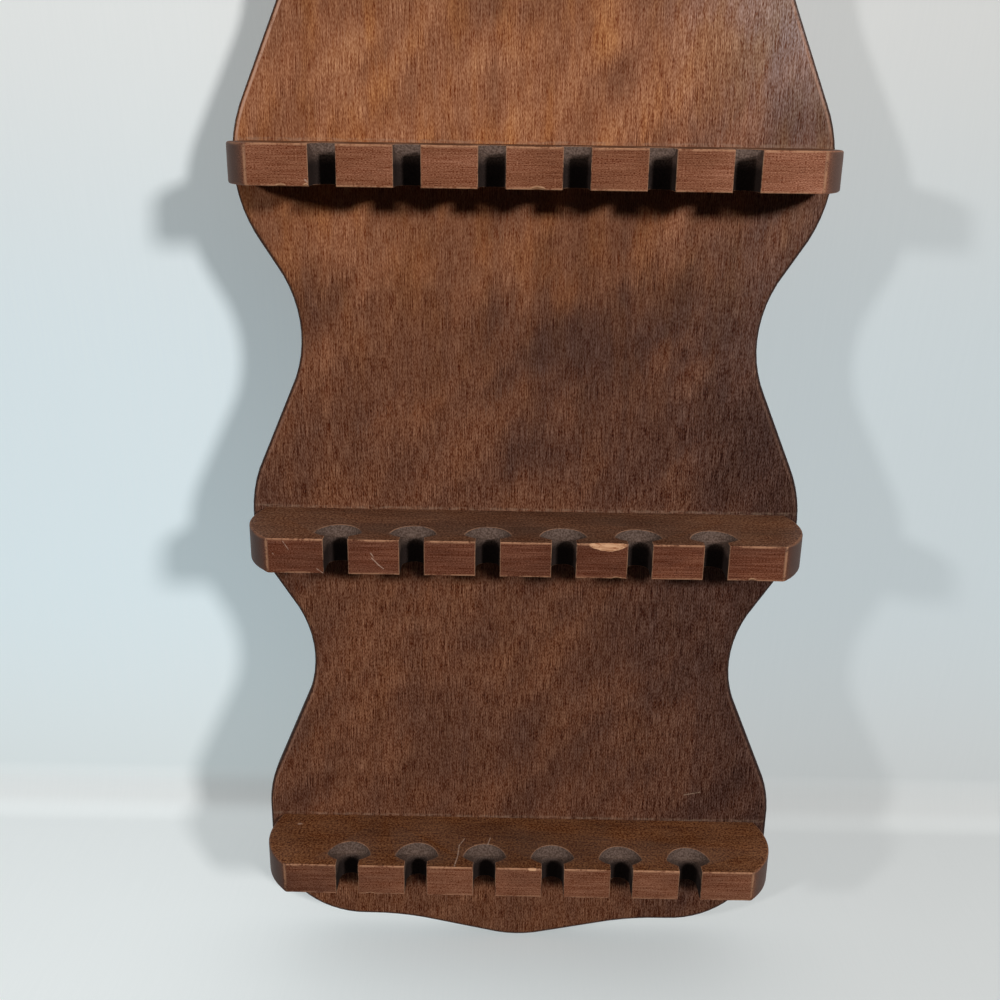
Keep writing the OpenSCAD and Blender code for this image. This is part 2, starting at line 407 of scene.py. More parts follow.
def clouded(tree, place, clouds):
    """Soft spots on the board's front added up, each with its own strength."""
    spots = []
    for (x, z), (half_x, half_z), strength in clouds:
        spot = use(tree, soft_spot, Vector=place, Middle=(x, BOARD_FRONT, z),
                   Size=(half_x, CLOUD_DEPTH, half_z))["Spot"]
        spots.append(times(tree, spot, strength))
    return plus(tree, *spots)


def board_veneer():
    """The board's material."""
    material, tree, shader, place, normal = start_material("board_veneer", Specular_IOR_Level=0.05)
    x, y, z = add(tree, "SeparateXYZ", {0: place}).outputs
    sway = times(tree, cloud(tree, place, SWAY_MM), SWAY_REACH)
    swayed = add(tree, "CombineXYZ", {0: plus(tree, x, sway), 1: y, 2: z}).outputs[0]
    grain = use(tree, wood_grain, Vector=swayed, Pore_Width=0.3, Pore_Length=6, Pore_Start=0.6)
    pores = grain["Pores"]
    # Figure: patches along a slanting line, feathered along the grain
    feather = times(tree, grain["Fibre"], FEATHER_REACH)
    feathered = add(tree, "CombineXYZ", {0: x, 1: y, 2: plus(tree, z, feather)}).outputs[0]
    slanted = add(tree, "VectorRotate", {"Vector": feathered, "Angle": math.radians(FIGURE_TURN_DEG)},
                  rotation_type="Y_AXIS").outputs[0]
    figure = fade(tree, cloud(tree, slanted, FIGURE_MM), 0.40, 0.66)
    # Broad tone: lighter to the top, which is painted light, and at the foot; darker to the right and
    # at the rims of the lower bays
    paler_with_painted_light = plus(tree, fade(tree, z, -235, -75, 0.44, 0.78),
                   fade(tree, z, -400, -365, 0.08, 0), clouded(tree, place, PALE_CLOUDS))
    rims = plus(tree, fade(tree, x, -92, -62, 0.05, 0), fade(tree, x, 50, 92, 0, 0.1))
    rims = times(tree, rims, fade(tree, z, -125, -105, 1, 0))
    stained = clouded(tree, place, STAIN_CLOUDS)
    darker = plus(tree, fade(tree, x, -60, 100, 0, 0.17), rims, stained)
    bold = fade(tree, z, -250, -110, 0.11, 0.18)
    tone = plus(tree, calc(tree, "SUBTRACT", paler_with_painted_light, darker), swing(tree, figure, bold),
                swing(tree, grain["Bands"], times(tree, bold, 1.6)))
    colour = shaded(tree, tone, BOARD_SHADES)
    colour = mix(tree, times(tree, stained, 2.2), colour, PURPLE_STAIN)
    # A painted sheen to the upper right, a reflection painted into the colour, and warm patches that
    # are strongest near the top
    painted_sheen = plus(tree, fade(tree, z, -120, -55, 0, 0.9), fade(tree, z, -215, -140, 0, 0.1))
    colour = mix(tree, times(tree, fade(tree, x, 25, 95), painted_sheen), colour, PAINTED_SHEEN)
    warm = fade(tree, cloud(tree, swayed, WARM_MM, detail=3), 0.42, 0.68)
    warm = times(tree, warm, fade(tree, z, -220, -100, 0.2, 0.8))
    colour = mix(tree, warm, colour, WARM_TINT, "MULTIPLY")
    # Fine light and dark in the grain, bolder further down and to the right
    fine = plus(tree, swing(tree, grain["Fibre"], 1.7), swing(tree, grain["Dashes"], 1))
    fine = times(tree, fine, fade(tree, z, -250, -110, 2.2, 1.3), fade(tree, x, 10, 80, 1, 1.25))
    colour = use(tree, grain_swing, Colour=colour, Swing=fine)["Colour"]
    colour = mix(tree, times(tree, pores, 0.1), colour, PORE_COLOUR)
    # Back, painted side shade and the rubbed edge with its painted highlight, told apart by the
    # direction of the surface
    flat = calc(tree, "ABSOLUTE", normal["Y"])
    below = fade(tree, normal["Z"], -0.3, -0.1, 1, 0)
    # Edges that face down get a wider band of painted shade
    painted_shade_below = times(tree, fade(tree, flat, 0.88, 0.995, 1, 0), below)
    painted_side_shade = calc(tree, "MAXIMUM", fade(tree, flat, 0.72, 0.93, 1, 0), painted_shade_below)
    back = times(tree, fade(tree, normal["Y"], 0.6, 0.98), fade(tree, y, -1.2, -0.2))
    smudge = fade(tree, cloud(tree, place, SMUDGE_MM, detail=4), 0.42, 0.62, 0.25, 0.8)
    raw = mix(tree, smudge, BACK_WOOD, colour)
    raw = mix(tree, times(tree, pores, 0.45), raw, PORE_COLOUR)
    colour = mix(tree, back, colour, raw)
    colour = mix(tree, times(tree, painted_side_shade, 0.8), colour, SIDE_SHADE_COLOUR)
    # Rubbed edge with a painted highlight: strongest where it faces up and to the left, near the top
    arris = times(tree, fade(tree, flat, 0.86, 0.93), fade(tree, flat, 0.965, 0.995, 1, 0),
                  fade(tree, normal["Z"], -0.05, 0.12), fade(tree, normal["X"], -0.1, 0.25, 1, 0.45),
                  fade(tree, z, -135, -112, 0.25, 1))
    wear = use(tree, worn_edges, Vector=place, Arris=arris, Amount=0.9)["Wear"]
    colour = mix(tree, times(tree, wear, 0.8), colour, RUBBED_EDGE_AND_HIGHLIGHT)
    # A thin line of dust on the board where each shelf meets it, and one scratch
    dust = 0
    for top in shelf_tops:
        above = calc(tree, "ABSOLUTE", calc(tree, "SUBTRACT", z, top + 0.5))
        dust = calc(tree, "MAXIMUM", dust, fade(tree, above, 0.2, 0.9, 1, 0))
    broken = fade(tree, cloud(tree, place, DUST_GAP_MM, detail=3), 0.38, 0.62)
    in_front = fade(tree, normal["Y"], -0.95, -0.8, 0.22, 0)
    colour = mix(tree, times(tree, dust, broken, in_front), colour, DUST_COLOUR)
    line = use(tree, scratch, Vector=place, **BOARD_SCRATCH)["Scratch"]
    colour = mix(tree, times(tree, line, 0.6), colour, DUST_COLOUR)
    rough = plus(tree, 0.5, times(tree, pores, 0.25))
    height = calc(tree, "SUBTRACT", grain["Dashes"], pores)
    finish_surface(tree, shader, colour, rough, height, *WOOD_BUMP)
    return material


board_material = board_veneer()
print("material", board_material.name, len(board_material.node_tree.nodes), "nodes")

# %% [markdown]
# ## The backboard
# On the real rack the board is sawn to a wavy outline and its edges are rounded over by hand. The CAD
# node has the outline and the holes, but knife-sharp edges. A copy of its mesh is welded, its flat
# faces are merged, and then the two long outlines and the hanging hole's rims are bevelled.

# %% Piece: backboard
ROUND_OVER = 2.0 * MM
ROUND_STEPS = 4
HOLE_EASE = 0.4 * MM
HOLE_STEPS = 2
HOLE_REACH = 5 * MM
BOARD_WELD = 0.02 * MM
FLAT_TURN = math.radians(1)
FLAT_Y = 0.999
SIDE_Y = 0.01


def linked_runs(edges):
    """Groups of edges that hang together, the longest first."""
    left = set(edges)
    runs = []
    while left:
        queue = [left.pop()]
        run = []
        while queue:
            edge = queue.pop()
            run.append(edge)
            for vert in edge.verts:
                for other in vert.link_edges:
                    if other in left:
                        left.remove(other)
                        queue.append(other)
        runs.append(run)
    return sorted(runs, key=lambda run: -sum(edge.calc_length() for edge in run))


def finish_piece(bm, name, material, node, origin=(0, 0, 0)):
    """Turns the finished mesh into an object that rides on the frame and stands for a CAD node."""
    mesh = bpy.data.meshes.new(name)
    bm.to_mesh(mesh)
    bm.free()
    piece = bpy.data.objects.new(name, mesh)
    piece.location = origin
    scene.collection.objects.link(piece)
    mesh.materials.append(material)
    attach(piece, "root")
    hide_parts(node)
    print(name, len(mesh.vertices), "points,", len(mesh.polygons), "faces")


board = bmesh.new()
board.from_mesh(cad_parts["backboard"].data)
bmesh.ops.remove_doubles(board, verts=board.verts, dist=BOARD_WELD)
bmesh.ops.dissolve_limit(board, angle_limit=FLAT_TURN, verts=board.verts, edges=board.edges)
rims = []
for edge in board.edges:
    across = sorted(abs(face.normal.y) for face in edge.link_faces)
    if len(across) == 2 and across[0] < SIDE_Y and across[1] > FLAT_Y:
        rims.append(edge)
runs = linked_runs(rims)
outline = runs[0] + runs[1]
hang_hole = [edge for run in runs[2:] for edge in run
             if all(Vector((v.co.x, v.co.z)).length < HOLE_REACH for v in edge.verts)]
bmesh.ops.bevel(board, geom=outline, offset=ROUND_OVER, offset_type="OFFSET", segments=ROUND_STEPS,
                profile=0.5, affect="EDGES")
hang_hole = [edge for edge in hang_hole if edge.is_valid]
bmesh.ops.bevel(board, geom=hang_hole, offset=HOLE_EASE, offset_type="OFFSET", segments=HOLE_STEPS,
                profile=0.5, affect="EDGES")
for face in board.faces:
    face.smooth = abs(face.normal.y) < FLAT_Y
finish_piece(board, "rack_backboard", board_material, "backboard")

# %% [markdown]
# ## The shelves' wood
# The shelves are solid strips whose grain runs along them. Stain and lacquer cover the faces. The slots
# were cut after staining and only caught some of it, so they are grey and fuzzy, and painted shade
# darkens them further down. The ends show dark end grain with painted shade on it, the arrises are
# rubbed pale, and in the chips bare wood shows. The mesh carries three numbers for this, arris, cut and
# bare, and each shelf gets its own shade and its own grain.

# %% Material: shelf wood
CUT_COLOUR = srgb(76, 60, 52)
CUT_FUZZ = srgb(106, 88, 79)
# Painted shade deep in the slots
CUT_DEEP_SHADE = srgb(36, 28, 26)
MIDDLE_SHADE = (0.86, 0.86, 0.86, 1)
# End grain colour, darkened partly as painted shade on the ends
END_COLOUR = srgb(83, 64, 57)
RUBBED_ARRIS = srgb(184, 136, 104)
BARE_WOOD = srgb(202, 156, 120)
BARE_STREAK = srgb(152, 100, 68)
SCRATCH_PALE = srgb(200, 172, 152)
SHADE_POSITIONS = (0.15, 0.5, 0.85)
LINE_MM = (0.35, 0.35, 16)
PATCH_MM = (11, 11, 26)
TOP_SPECK_MM = (0.8, 0.9, 0.9)
DOT_MM = (0.4, 0.4, 0.4)
FUZZ_MM = (0.6, 0.6, 0.6)
SPLINTER_MM = (0.25, 0.25, 6)


def mesh_value(tree, name):
    """A number that the mesh carries at each of its points."""
    return add(tree, "Attribute", attribute_name=name).outputs["Fac"]


def shelf_wood(name, shades, ends, top_tint, shift, marks):
    """The material of one shelf."""
    material, tree, shader, place, normal = start_material(name, Specular_IOR_Level=0.05)
    x, y, z = add(tree, "SeparateXYZ", {0: place}).outputs
    along = add(tree, "CombineXYZ", {0: z, 1: y, 2: x}).outputs[0]
    along = vcalc(tree, "ADD", along, (shift, shift, shift))
    grain = use(tree, wood_grain, Vector=along, Pore_Width=0.3, Pore_Length=3.4, Pore_Start=0.6)
    lines = cloud(tree, along, LINE_MM)
    patch = cloud(tree, along, PATCH_MM)
    top = fade(tree, normal["Z"], 0.7, 0.98)
    # Broad tone: uneven stain, and fronts whose ends are lighter or darker than the rest
    left = fade(tree, x, -75, -45, ends[0], 0)
    right = fade(tree, x, 45, 75, 0, ends[1])
    at_ends = times(tree, plus(tree, left, right), calc(tree, "SUBTRACT", 1, top))
    tone = plus(tree, 0.5, at_ends, swing(tree, patch, 0.7), swing(tree, grain["Bands"], 0.3))
    colour = shaded(tree, tone, list(zip(SHADE_POSITIONS, shades)))
    # The top is tinted apart from the front, partly its own colour and partly painted light and shade,
    # and it is darkest in the middle
    colour = mix(tree, top, colour, top_tint, "MULTIPLY")
    middle = fade(tree, calc(tree, "ABSOLUTE", x), 10, 75, 1, 0)
    colour = mix(tree, times(tree, top, middle), colour, MIDDLE_SHADE, "MULTIPLY")
    # Fine lines on the fronts, and specks on the tops
    specks = cloud(tree, place, TOP_SPECK_MM, detail=1)
    fine = plus(tree, swing(tree, grain["Fibre"], 0.8), swing(tree, lines, 1.4),
                swing(tree, grain["Dashes"], 1.8), swing(tree, specks, times(tree, top, 3)))
    colour = use(tree, grain_swing, Colour=colour, Swing=fine)["Colour"]
    colour = mix(tree, times(tree, grain["Pores"], 0.2), colour, PORE_COLOUR)
    # End grain: fine dots, darker than the long grain, and partly painted shade on the ends
    dots = fade(tree, cloud(tree, place, DOT_MM), 0.4, 0.7)
    end_grain_and_shade = mix(tree, times(tree, dots, 0.5), END_COLOUR, CUT_COLOUR)
    end = fade(tree, calc(tree, "ABSOLUTE", normal["X"]), 0.55, 0.8)
    colour = mix(tree, times(tree, end, 0.85), colour, end_grain_and_shade)
    # Cut wood in the slots: fuzzy, and darker further down, which is painted shade
    cut = mesh_value(tree, "cut")
    fuzz = fade(tree, cloud(tree, place, FUZZ_MM, detail=3), 0.35, 0.65)
    painted_shade_down = fade(tree, z, -6.5, -3, 0.9, 0)
    cut_wood = mix(tree, painted_shade_down, mix(tree, fuzz, CUT_COLOUR, CUT_FUZZ), CUT_DEEP_SHADE)
    colour = mix(tree, cut, colour, cut_wood)
    # Dust, rubbed arrises, chips and scratches
    dust = use(tree, dust_film, Vector=place, Up=normal["Z"], Amount=0.05)["Dust"]
    colour = mix(tree, dust, colour, DUST_COLOUR)
    wear = use(tree, worn_edges, Vector=vcalc(tree, "ADD", place, (shift, 0, 0)),
               Arris=mesh_value(tree, "arris"), Amount=0.75)["Wear"]
    colour = mix(tree, times(tree, wear, 0.85), colour, RUBBED_ARRIS)
    splinter = cloud(tree, along, SPLINTER_MM)
    bare_wood = mix(tree, fade(tree, splinter, 0.42, 0.62), BARE_WOOD, BARE_STREAK)
    colour = mix(tree, fade(tree, mesh_value(tree, "bare"), 0.2, 0.6), colour, bare_wood)
    for start, end_point, width in marks:
        line = use(tree, scratch, Vector=place, Start=start, End=end_point, Width=width)["Scratch"]
        colour = mix(tree, times(tree, line, 0.6), colour, SCRATCH_PALE)
    rough = plus(tree, 0.48, times(tree, cut, 0.42))
    height = calc(tree, "SUBTRACT", times(tree, lines, 0.5), grain["Pores"])
    height = plus(tree, height, times(tree, fuzz, cut, 2))
    finish_surface(tree, shader, colour, rough, height, *WOOD_BUMP)
    return material


# Each mark is a scratch from one place to another on that shelf, then its width
TOP_MARKS = [((-68.6, 0, -10.4), (-68, 0, -11), 0.4)]
MIDDLE_MARKS = [
    ((-51.7, 0, -4.7), (-50.8, 0, -6), 0.3), ((-51.4, 0, -6.4), (-49, 0, -9), 0.32),
    ((-49, 0, -9), (-47.5, 0, -10.2), 0.25), ((-80.9, 0, -0.9), (-79.1, 0, -3.9), 0.2),
    ((-69.9, 0, -10.6), (-67.5, 0, -12.4), 0.2), ((-84.5, 0, -5.3), (-84.2, 0, -5.6), 0.25)]
BOTTOM_MARKS = [
    ((-20.6, 17.6, 0), (-22.5, 13.3, 0), 0.3), ((-22.5, 13.3, 0), (-22.8, 6.5, 0), 0.3),
    ((-22.8, 6.5, 0), (-23.8, 0.7, 0), 0.35), ((-10.8, 18.3, 0), (-11.7, 14.1, 0), 0.3),
    ((-85.6, 25.1, 0), (-84.6, 25.2, 0), 0.8)]
# Each shelf has its dark, middle and light shade, how much lighter its left and right ends are, the
# tint of its top, which is partly painted light and shade, a shift that gives it grain of its
# own, and its marks
SHELF_LOOKS = {
    "top_shelf": dict(
        shades=((94, 55, 37), (121, 74, 51), (149, 96, 72)),
        ends=(0.03, 0.25), top_tint=(0.7, 0.68, 0.54, 1), shift=0, marks=TOP_MARKS),
    "middle_shelf": dict(
        shades=((74, 43, 30), (102, 60, 43), (130, 79, 56)),
        ends=(0, -0.06), top_tint=(1, 1.16, 1.06, 1), shift=311, marks=MIDDLE_MARKS),
    "bottom_shelf": dict(
        shades=((88, 54, 40), (121, 77, 56), (148, 97, 72)),
        ends=(-0.24, 0), top_tint=(0.7, 0.62, 0.41, 1), shift=747, marks=BOTTOM_MARKS),
}
shelf_materials = {node: shelf_wood(node + "_wood", **look) for node, look in SHELF_LOOKS.items()}
print("shelf materials:", [m.name for m in shelf_materials.values()])

# %% [markdown]
# ## The outline of a shelf
# From above, a shelf is a strip with bulging ends, a straight back and six slots that open to the
# front. Cutting the slots with booleans leaves ragged faces that can't be softened. So the outline is
# walked once all the way round, in and out of each slot, and every corner on the way is rounded.

# %% Shelf outline
# The CAD's sizes of a shelf, in millimetres
shelf_low, shelf_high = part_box("top_shelf")
SHELF_DEPTH = (shelf_high.y - shelf_low.y) / MM
SHELF_THICK = (shelf_high.z - shelf_low.z) / MM
SHELF_HALF = shelf_high.x / MM
END_RADIUS = 26.0
WIDEST_OUT = 12.0
SLOT_COUNT = 6
SLOT_PITCH = 25.4
SLOT_HALF = 4.1
SEAT_IN = 8.0
# Steps along the outline, and how far its corners are cut back
STEP = {"front": 0.6, "slot": 0.5, "end": 1.2, "back": 5.0}
CORNER_STEPS = 4
SLOT_CORNER = 0.35
BACK_CORNER = 0.4
END_CORNER = 0.8
slot_middles = [(i - (SLOT_COUNT - 1) / 2) * SLOT_PITCH for i in range(SLOT_COUNT)]


def arc(middle, radius, from_deg, to_deg, count=60):
    """Points on an arc."""
    angles = [math.radians(from_deg + (to_deg - from_deg) * i / count) for i in range(count + 1)]
    return [Vector((middle[0] + radius * math.cos(a), middle[1] + radius * math.sin(a))) for a in angles]


def outline_runs():
    """The outline as smooth runs, each a kind and its points, in order round the shelf."""
    end_x = SHELF_HALF - END_RADIUS
    end_y = SHELF_DEPTH - WIDEST_OUT
    to_back = math.degrees(math.asin(WIDEST_OUT / END_RADIUS))
    to_front = math.degrees(math.asin(end_y / END_RADIUS))
    runs = [("end", arc((-end_x, end_y), END_RADIUS, 180 - to_back, 180 + to_front))]
    for middle in slot_middles:
        slot_run = [Vector((middle - SLOT_HALF, 0))]
        slot_run += arc((middle, SEAT_IN), SLOT_HALF, 180, 0)
        slot_run += [Vector((middle + SLOT_HALF, 0))]
        runs.append(("front", [runs[-1][1][-1], slot_run[0]]))
        runs.append(("slot", slot_run))
    right_end = arc((end_x, end_y), END_RADIUS, -to_front, to_back)
    runs.append(("front", [runs[-1][1][-1], right_end[0]]))
    runs.append(("end", right_end))
    runs.append(("back", [right_end[-1], runs[0][1][0]]))
    return runs


def corner_cut(kind, other):
    """How far a corner between two kinds of run is cut back to be rounded."""
    if "slot" in (kind, other):
        return SLOT_CORNER
    return BACK_CORNER if "back" in (kind, other) else END_CORNER


def stepped(points, cut_start, cut_end, step):
    """Points at even steps along a run, leaving out a cut at either end."""
    reach = [0.0]
    for a, b in zip(points, points[1:]):
        reach.append(reach[-1] + (b - a).length)
    length = reach[-1] - cut_start - cut_end
    count = max(2, round(length / step))
    made = []
    k = 0
    for i in range(count + 1):
        at = cut_start + length * i / count
        while k < len(points) - 2 and reach[k + 1] < at:
            k += 1
        made.append(points[k].lerp(points[k + 1], (at - reach[k]) / (reach[k + 1] - reach[k])))
    return made


def bend(start, corner, end, u):
    """Place u, from 0 to 1, on a curve that leaves start for corner and arrives at end."""
    return [(1 - u) ** 2 * a + 2 * u * (1 - u) * b + u * u * c for a, b, c in zip(start, corner, end)]


def shelf_outline():
    """Every place on the way round: point, direction out of the wood, and kind."""
    runs = outline_runs()
    count = len(runs)
    made = []
    for k, (kind, points) in enumerate(runs):
        before = corner_cut(runs[k - 1][0], kind)
        after = corner_cut(kind, runs[(k + 1) % count][0])
        made.append((kind, stepped(points, before, after, STEP[kind])))
    places = []
    for k, (kind, points) in enumerate(made):
        places += [(kind, point) for point in points]
        following = made[(k + 1) % count][1][0]
        for j in range(1, CORNER_STEPS):
            at = bend(points[-1], runs[k][1][-1], following, j / CORNER_STEPS)
            places.append(("edge" if 2 * j == CORNER_STEPS else "corner", Vector(at)))
    walk = []
    for i, (kind, point) in enumerate(places):
        ahead = places[(i + 1) % len(places)][1] - places[i - 1][1]
        walk.append((point, Vector((ahead.y, -ahead.x)).normalized(), kind))
    return walk


shelf_walk = shelf_outline()
print("shelf outline:", len(shelf_walk), "places")

# %% [markdown]
# ## The dishes
# Round the inner end of each slot the top is sunk to a half-moon dish, in which the spoon's shoulder
# rests. A round-nosed cutter that is tipped back cuts such a dish: its side leaves the round back wall
# and its nose the floor, which rises to the front. At any place the shallower of the two is the depth.

# %% Depth of a dish
CUTTER_RADIUS = 8.3
NOSE_RADIUS = 17.5
CUTTER_TIP = math.radians(30)
DISH_LENGTH = 12.0
DISH_BACK = SEAT_IN + 6.6
HALVINGS = 30
axis_at = DISH_BACK - CUTTER_RADIUS / math.cos(CUTTER_TIP)
front_at = DISH_BACK - DISH_LENGTH - axis_at
front_rise = front_at * math.sin(CUTTER_TIP)
nose_up = front_rise + math.sqrt(front_rise ** 2 - front_at ** 2 + NOSE_RADIUS ** 2)


def dish_depth(point):
    """How far the dish of the nearest slot lies below the top of the shelf."""
    across = min((point.x - middle for middle in slot_middles), key=abs)
    back = point.y - axis_at
    off_nose = across ** 2 + (back - nose_up * math.sin(CUTTER_TIP)) ** 2
    if abs(across) >= CUTTER_RADIUS or off_nose >= NOSE_RADIUS ** 2:
        return 0.0
    half = math.sqrt(CUTTER_RADIUS ** 2 - across ** 2)
    wall = (half - back * math.cos(CUTTER_TIP)) / math.sin(CUTTER_TIP)
    floor = math.sqrt(NOSE_RADIUS ** 2 - off_nose) - nose_up * math.cos(CUTTER_TIP)
    return max(0.0, min(wall, floor))


def rim_distance(point, inward):
    """How far the rim lies from a place on the slot's wall, going into the wood."""
    near, far = 0.0, 2 * CUTTER_RADIUS
    for _ in range(HALVINGS):
        middle = (near + far) / 2
        if dish_depth(point + inward * middle) > 0:
            near = middle
        else:
            far = middle
    return far


print("dish depth behind the slot", round(dish_depth(Vector((slot_middles[0], SEAT_IN + SLOT_HALF))), 2))

# %% [markdown]
# ## A shelf from its outline
# At each place of the outline a short column of points goes from the top face over the arris, down the
# wall and under. Neighbouring columns are joined by faces, and the top and bottom rings are closed by
# one face each. Each arris is a little uneven, and where a chip has come off it opens into a flat scar.

# %% Columns of a shelf
EASE = {"front": 0.45, "corner": 0.3, "edge": 0.3, "slot": 0.22, "end": 0.9, "back": 0.2}
WORN = {"end": 0.25, "back": 0.0}
FACE_WORN = {"front": 0.7, "corner": 0.5, "edge": 0.9}
CUT = {"slot": 1.0, "corner": 0.4, "edge": 0.4}
UNEVEN = 0.5
UNEVEN_EVERY = 0.11
NEIGHBOURS = (-2, -1, 0, 1, 2)
EDGES_APART = 9.0
FRONT_REACH = 1
RAGGED = 0.15
RAGGED_EVERY = 1.3
RAGGED_SEED = 5.0
RIM_EASE = 0.12
RIM_EASE_SHARE = 0.35
RIM_WORN = 0.6
RIM_CUT = 0.2
SEAT_WORN = 0.1
DISH_STEPS = 8
WALL_SHARES = (0.03, 0.2, 0.4, 0.6, 0.8, 0.97)
LEAST_DISH = 0.2


def eased(start, corner, end, shares, at_start=0.0, at_end=0.0):
    """Points round an arris, each with how rubbed it is: fully in the middle, less at the two ends."""
    rows = []
    for u in shares:
        rubbed = max(4 * u * (1 - u), at_start * (1 - u), at_end * u)
        rows.append((*bend(start, corner, end, u), rubbed))
    return rows


def column(point, out, kind, top, bottom):
    """Rows of inset, height, arris, cut and bare, from the top ring to the bottom ring.
    top and bottom hold the arris's inset, its drop and how much of it is chipped."""
    inset, drop, bare = top
    cut = CUT.get(kind, 0.0)
    worn = WORN.get(kind, 1.0)
    face_worn = FACE_WORN.get(kind, 0.0)
    depth = dish_depth(point) if kind == "slot" else 0.0
    rows = []
    if depth > LEAST_DISH:
        rim = rim_distance(point, -out)
        ease = min(RIM_EASE, RIM_EASE_SHARE * rim)
        def sunk(inward):
            return (inward, -dish_depth(point - out * inward))
        for at, height, arris in eased((rim + ease, 0), (rim, 0), sunk(rim - ease), (0, 1 / 3, 2 / 3, 1)):
            rows.append((at, height, RIM_WORN * arris, 1 if at < rim else RIM_CUT, 0))
        for j in range(1, DISH_STEPS + 1):
            at, height = sunk((rim - ease) + (2 * ease - rim) * j / DISH_STEPS)
            rows.append((at, height, 0, 1, 0))
        for at, height, arris in eased(sunk(ease), (0, -depth), (0, -depth - ease), (1 / 3, 2 / 3, 1)):
            rows.append((at, height, SEAT_WORN * arris, 1, 0))
    else:
        # As many rows as a column with a dish has, so the spare ones share a point
        corner = (0.5 * inset * bare, -0.5 * drop * bare)
        shares = (0, 1 / 6, 1 / 3) + (0.5,) * (DISH_STEPS + 1) + (2 / 3, 5 / 6, 1)
        for at, height, arris in eased((inset, 0), corner, (0, -drop), shares, at_end=face_worn):
            rows.append((at, height, worn * arris, cut * (1 - at / inset), bare * min(1, 2 * arris)))
    inset, drop, bare = bottom
    high, low = rows[-1][1], drop - SHELF_THICK
    for share in WALL_SHARES:
        rows.append((0, high + (low - high) * share, 0 if kind == "front" else face_worn, cut, 0))
    corner = (0.5 * inset * bare, -SHELF_THICK + 0.5 * drop * bare)
    shares = (0, 0.25, 0.5, 0.75, 1)
    for at, height, arris in eased((0, low), corner, (inset, -SHELF_THICK), shares, at_start=face_worn):
        rows.append((at, height, worn * arris, cut * (1 - at / inset), bare * min(1, 2 * arris)))
    return rows


def arris_sizes(walk, seed, chips):
    """Inset, drop and chipped share of the top and bottom arris at each place of the outline."""
    sizes = []
    for edge_seed, edge in enumerate(("top", "bottom")):
        way = 0.0
        rough = []
        for i, (point, _, kind) in enumerate(walk):
            way += (point - walk[i - 1][0]).length
            lump = noise.noise(Vector((way * UNEVEN_EVERY, seed, edge_seed * EDGES_APART)))
            rough.append(EASE[kind] * (1 + UNEVEN * lump))
        made = []
        for i, (point, *_) in enumerate(walk):
            size = sum(rough[(i + k) % len(walk)] for k in NEIGHBOURS) / len(NEIGHBOURS)
            inset, drop, bare = size, size, 0.0
            for chip_edge, middle, half, chip_drop, chip_inset in chips:
                away = abs(point.x - middle) / half
                if chip_edge == edge and point.y < FRONT_REACH and away < 1:
                    lump = noise.noise(Vector((point.x * RAGGED_EVERY, seed, RAGGED_SEED)))
                    ragged = 1 + RAGGED * lump
                    scar = (1 - away ** 2) * ragged
                    inset += chip_inset * scar
                    drop += chip_drop * scar
                    bare = max(bare, min(1.0, 3 * scar))
            made.append((inset, drop, bare))
        sizes.append(made)
    return list(zip(*sizes))


PLAIN_ARRIS = (0.5, 0.5, 0)
print("rows in a column:", len(column(*shelf_walk[0], PLAIN_ARRIS, PLAIN_ARRIS)))

# %% [markdown]
# ## The three shelves
# The shelves have the same outline, but each has its own uneven arrises and its own chips. The largest
# chip is a lens-shaped scar on the middle shelf. A chip is written as its edge, the place of its middle
# along the shelf, half its length, its drop down the front and its inset on the flat face.

# %% Pieces: shelves
CHIPS = {
    "top_shelf": [("bottom", -76.0, 1.6, 0.2, 0.3), ("bottom", 1.0, 2.4, 0.6, 0.6),
                  ("bottom", -68.4, 0.8, 0.4, 0.4)],
    "middle_shelf": [("top", 27.2, 6.5, 1.9, 0.9), ("bottom", 30.6, 1.5, 0.3, 0.4),
                     ("bottom", 75.9, 1.3, 0.5, 0.4)],
    "bottom_shelf": [("bottom", -55.0, 1.7, 0.3, 0.4), ("top", 5.0, 1.6, 0.25, 0.2)],
}
LAYERS = ("arris", "cut", "bare")
SHELF_WELD = 0.0005 * MM
SEEDS_APART = 3.7


def shelf_mesh(seed, chips):
    """One shelf: its columns joined, and its two rings closed."""
    bm = bmesh.new()
    layers = [bm.verts.layers.float.new(name) for name in LAYERS]
    rings = []
    for (point, out, kind), (top, bottom) in zip(shelf_walk, arris_sizes(shelf_walk, seed, chips)):
        ring = []
        for inset, height, *values in column(point, out, kind, top, bottom):
            at = point - out * inset
            vert = bm.verts.new((at.x * MM, at.y * MM, height * MM))
            for layer, value in zip(layers, values):
                vert[layer] = value
            ring.append(vert)
        rings.append(ring)
    for ring, following in zip(rings, rings[1:] + rings[:1]):
        for k in range(len(ring) - 1):
            face = bm.faces.new((ring[k], ring[k + 1], following[k + 1], following[k]))
            face.smooth = True
    bm.faces.new([ring[0] for ring in rings])
    bm.faces.new([ring[-1] for ring in reversed(rings)])
    bmesh.ops.remove_doubles(bm, verts=bm.verts, dist=SHELF_WELD)
    return bm


for count, name in enumerate(SHELF_NODES):
    low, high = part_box(name)
    bm = shelf_mesh(count * SEEDS_APART, CHIPS[name])
    finish_piece(bm, "rack_" + name, shelf_materials[name], name, origin=(0, low.y, high.z))
print("shelves made:", len(SHELF_NODES))

# %% [markdown]
# ## The screws
# Two flat-head screws hold each shelf from behind. Their CAD solids already have tapered heads and
# driver slots, so they stay as they are and only get a finish: zinc that has gone dull and spotted.

# %% Material: dull zinc
ZINC = srgb(176, 172, 160)
ZINC_DARK = srgb(96, 88, 76)
ZINC_SPOT_MM = (0.8, 0.8, 0.8)
TURNING_MM = (2.5, 0.15, 0.15)
ZINC_BUMP = (0.2, 0.00005)


